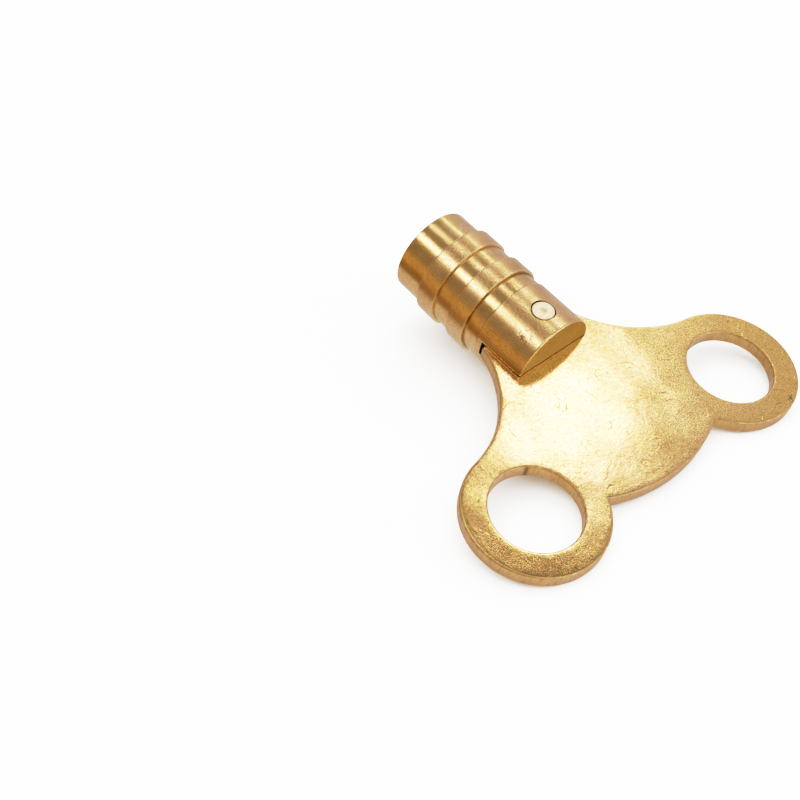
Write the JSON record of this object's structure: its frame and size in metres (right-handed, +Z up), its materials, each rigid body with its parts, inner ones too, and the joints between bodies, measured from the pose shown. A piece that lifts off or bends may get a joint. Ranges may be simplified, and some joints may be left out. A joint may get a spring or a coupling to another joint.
{
  "type": "radiator bleed key",
  "caption": "Winged brass key: a flat stamped plate with round finger eyes, slotted and pinned into a turned barrel whose square socket turns radiator bleed valves.",
  "frame": {"origin": "middle of the key's footprint, on the surface that it lies on", "axes": "+X across the wings; +Z up, off the side that shows the cross pin; +Y over the ground in the direction that the socket's mouth points, which is raised 12.6 degrees"},
  "size_m": [0.0432, 0.0376, 0.0135],
  "materials": {
    "plate_brass": "rolled brass sheet, satin, fine grain and light tarnish, sheared edges",
    "barrel_brass": "turned brass bar, bright turned lands and grooves, satin tarnished rings",
    "pin_brass": "flat faced brass pin, dressed flush"
  },
  "bodies": {
    "root": {"wing_plate": "plate_brass", "socket_barrel": "barrel_brass", "cross_pin": "pin_brass"}
  },
  "joints": []
}
